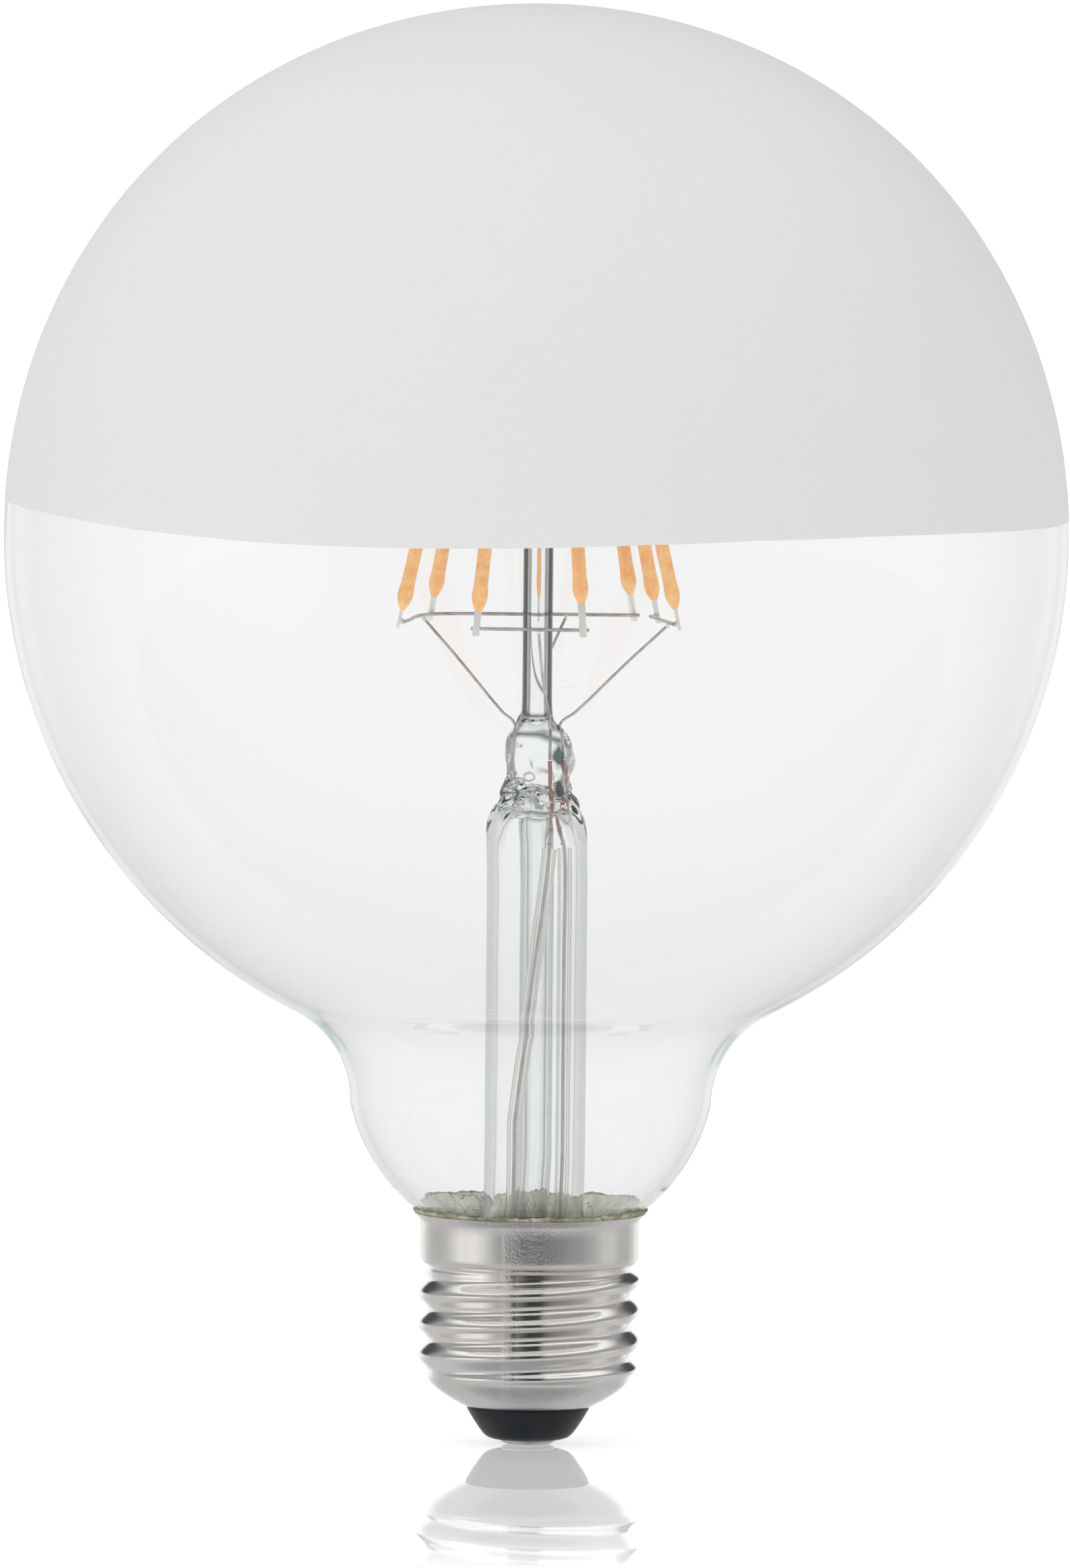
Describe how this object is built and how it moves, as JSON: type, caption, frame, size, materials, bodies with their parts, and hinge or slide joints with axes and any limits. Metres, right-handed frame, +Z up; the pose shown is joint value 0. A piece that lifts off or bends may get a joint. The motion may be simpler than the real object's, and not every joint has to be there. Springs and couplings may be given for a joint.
{
  "type": "half-frosted globe light bulb with LED filaments",
  "caption": "Large round glass lamp, frosted above and clear below, with a glass stem, a cage of glowing-strip filaments and a medium screw cap.",
  "frame": {"origin": "middle of the centre contact's flat face, at the very bottom of the cap", "axes": "+Z up the lamp's axis from the contact to the crown of the globe; -Y is the front, where the bridge that joins two filaments at the front is; +X is to the right seen from the front"},
  "size_m": [0.125, 0.125, 0.1693],
  "materials": {
    "clear_glass": "clear, polished",
    "frosted_glass": "clear glass with a matt white frosting",
    "phosphor_coat": "matt ochre silicone with phosphor",
    "nickel_wire": "drawn, nickel-plated",
    "seal_copper": "copper-clad, oxidised red",
    "lead_copper": "tinned copper strand",
    "clear_sleeve": "clear flexible sleeving",
    "cap_nickel": "nickel-plated, satin collar and polished thread",
    "cement": "matt olive-grey capping cement",
    "black_insulator": "smooth dark blue-black",
    "contact_metal": "plated disc",
    "board": "solder-masked laminate",
    "moulded_black": "moulded package",
    "capacitor_skin": "shrink sleeve",
    "ferrite": "wound ferrite drum",
    "fuse_body": "lacquered resistor body"
  },
  "bodies": {
    "root": {"globe_glass": "clear_glass", "stem_tube": "clear_glass", "exhaust_tube": "clear_glass", "support_rod": "clear_glass", "led_filament_1": "phosphor_coat", "led_filament_2": "phosphor_coat", "led_filament_3": "phosphor_coat", "led_filament_4": "phosphor_coat", "led_filament_5": "phosphor_coat", "led_filament_6": "phosphor_coat", "led_filament_7": "phosphor_coat", "led_filament_8": "phosphor_coat", "front_bridge_wire": "nickel_wire", "right_bridge_wire": "nickel_wire", "rear_bridge_wire": "nickel_wire", "left_top_bridge_wire": "nickel_wire", "right_top_bridge_wire": "nickel_wire", "left_top_arm": "nickel_wire", "right_top_arm": "nickel_wire", "front_support_wire": "nickel_wire", "right_support_wire": "nickel_wire", "left_support_wire": "nickel_wire", "rear_support_wire": "nickel_wire", "front_seal_wire": "seal_copper", "right_seal_wire": "seal_copper", "outer_lead_1": "lead_copper", "outer_lead_2": "lead_copper", "lead_sleeve_1": "clear_sleeve", "lead_sleeve_2": "clear_sleeve", "screw_shell": "cap_nickel", "basing_cement": "cement", "cap_insulator": "black_insulator", "tip_contact": "contact_metal", "driver_board": "board", "bridge_rectifier": "moulded_black", "driver_chip": "moulded_black", "smoothing_capacitor": "capacitor_skin", "choke": "ferrite", "fuse_resistor": "fuse_body", "live_lead": "lead_copper", "neutral_lead": "lead_copper"}
  },
  "joints": []
}
